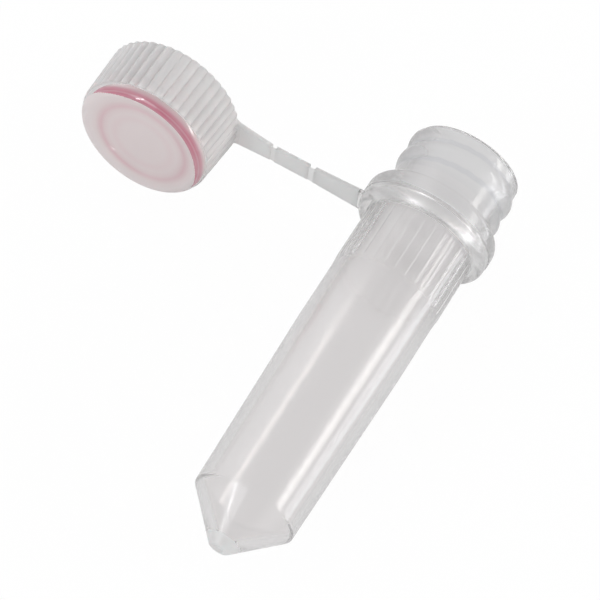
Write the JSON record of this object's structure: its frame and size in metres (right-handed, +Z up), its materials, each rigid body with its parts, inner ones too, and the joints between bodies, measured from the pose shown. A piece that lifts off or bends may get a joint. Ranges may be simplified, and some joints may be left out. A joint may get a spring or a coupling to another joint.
{
  "type": "cryovial",
  "caption": "Round translucent sample tube with a conical bottom, lying open, with its knurled screw cap and seal held by a flat hinged tether",
  "frame": {"origin": "centre of the whole part's bounding box on the bench it lies on, z = 0 at the bench", "axes": "+Y along the bench from the tube's tip towards its mouth, -X from the tube towards its cap, +Z up; the tube's own axis rises by about three degrees towards the mouth, because it lies on its collar"},
  "size_m": [0.0404, 0.0456, 0.0141],
  "materials": {
    "tube_plastic": "clear to faintly hazy, smooth",
    "cap_plastic": "hazy, satin to gloss",
    "seal_rubber": "smooth satin"
  },
  "bodies": {
    "tube": {"tube": "tube_plastic"},
    "tether_ring": {"tether_ring": "cap_plastic"},
    "strap_link": {"strap_link": "cap_plastic"},
    "cap": {"cap": "cap_plastic", "o_ring": "seal_rubber"}
  },
  "joints": [
    {"name": "ring_turn", "type": "hinge", "parent": "tube", "child": "tether_ring", "pos_m": [0.01351, 0.01413, 0.00664], "axis": [0, 0.9987, 0.0508], "continuous": true},
    {"name": "inner_fold", "type": "hinge", "parent": "tether_ring", "child": "strap_link", "pos_m": [0.00166, 0.01413, 0.00664], "axis": [-0.0001, -0.0189, -0.9998], "range_deg": [0, 105]},
    {"name": "outer_fold", "type": "hinge", "parent": "strap_link", "child": "cap", "pos_m": [-0.00243, 0.01413, 0.00664], "axis": [-0.0001, -0.0189, -0.9998], "range_deg": [0, 75]}
  ]
}
